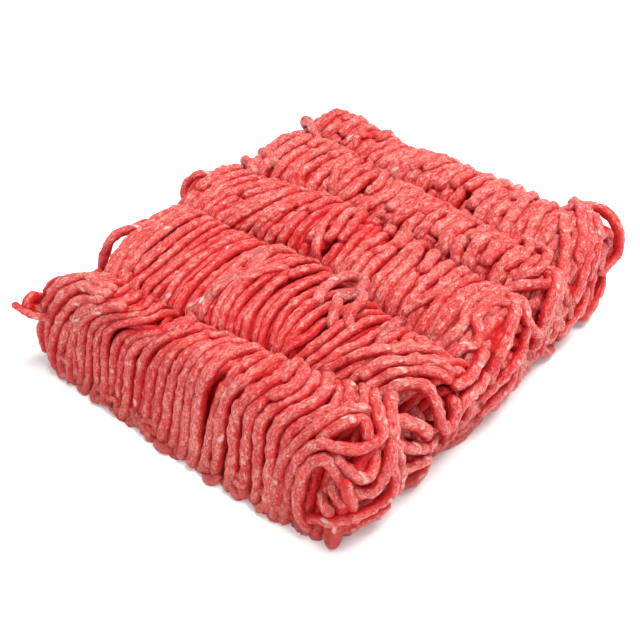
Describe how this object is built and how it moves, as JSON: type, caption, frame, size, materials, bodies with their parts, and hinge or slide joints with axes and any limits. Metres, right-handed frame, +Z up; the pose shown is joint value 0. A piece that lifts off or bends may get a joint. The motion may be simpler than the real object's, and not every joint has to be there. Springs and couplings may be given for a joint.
{
  "type": "block of raw minced beef",
  "caption": "Raw minced beef in one flat block: five rounded folds of parallel strands, coral red with pale flecks of fat, resting on its flat base.",
  "frame": {"origin": "middle of the flat base, on the surface that the block lies on", "axes": "+X along the folds, +Y across the folds and along the block, +Z up"},
  "size_m": [0.1454, 0.1717, 0.0357],
  "materials": {
    "minced_beef": "moist raw meat, red with pale flecks of fat"
  },
  "bodies": {
    "root": {"mince_block": "minced_beef"}
  },
  "joints": []
}
